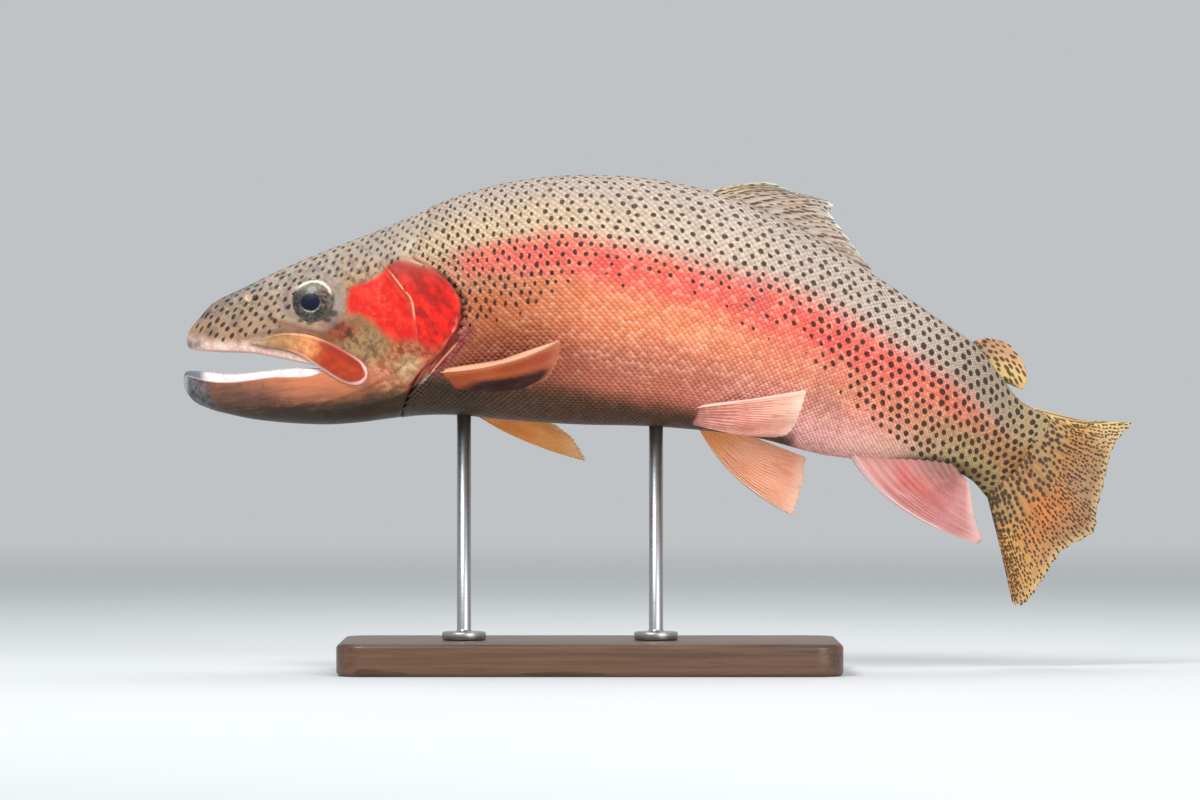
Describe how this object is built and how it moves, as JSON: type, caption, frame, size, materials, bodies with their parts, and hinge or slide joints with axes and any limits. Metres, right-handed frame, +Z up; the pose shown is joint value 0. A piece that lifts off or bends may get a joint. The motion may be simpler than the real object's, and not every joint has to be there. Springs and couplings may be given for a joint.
{
  "type": "rainbow trout",
  "caption": "Life-size rainbow trout in a swimming arch with its mouth open, held by two short rods on a flat wooden display base.",
  "frame": {"origin": "on the floor, under the centre of the whole model's bounding box", "axes": "+X from the head to the tail, +Y to the fish's right, which is the side the tail swings to, +Z up"},
  "size_m": [0.4814, 0.1232, 0.2482],
  "materials": {
    "back_skin": "satin, dark spots on tan over a red band and orange flank",
    "cover_skin": "glossy, vivid red",
    "jaw_skin": "glossy, brown orange with a grey chin",
    "jaw_bone": "glossy, orange with a pale rim",
    "eye": "clear gloss over a dark iris and black pupil",
    "tongue": "wet, pale pink",
    "fin_spotted": "satin, dark dashes along the rays",
    "fin_pink": "satin, pink with a pale margin",
    "fin_orange": "satin, orange with a pale leading edge",
    "base_wood": "oiled walnut",
    "rod_steel": "brushed"
  },
  "bodies": {
    "root": {"head": "back_skin", "trunk": "back_skin", "tail_stalk": "back_skin", "jaw_lower": "jaw_skin", "gill_cover_left": "cover_skin", "gill_cover_right": "cover_skin", "jaw_bone_left": "jaw_bone", "jaw_bone_right": "jaw_bone", "eye_left": "eye", "eye_right": "eye", "tongue": "tongue", "fin_dorsal": "fin_spotted", "fin_adipose": "fin_spotted", "fin_caudal": "fin_spotted", "fin_anal": "fin_pink", "fin_pelvic_left": "fin_pink", "fin_pelvic_right": "fin_orange", "fin_pectoral_left": "fin_orange", "fin_pectoral_right": "fin_orange", "stand_base": "base_wood", "stand_rod_front": "rod_steel", "stand_rod_rear": "rod_steel"}
  },
  "joints": []
}
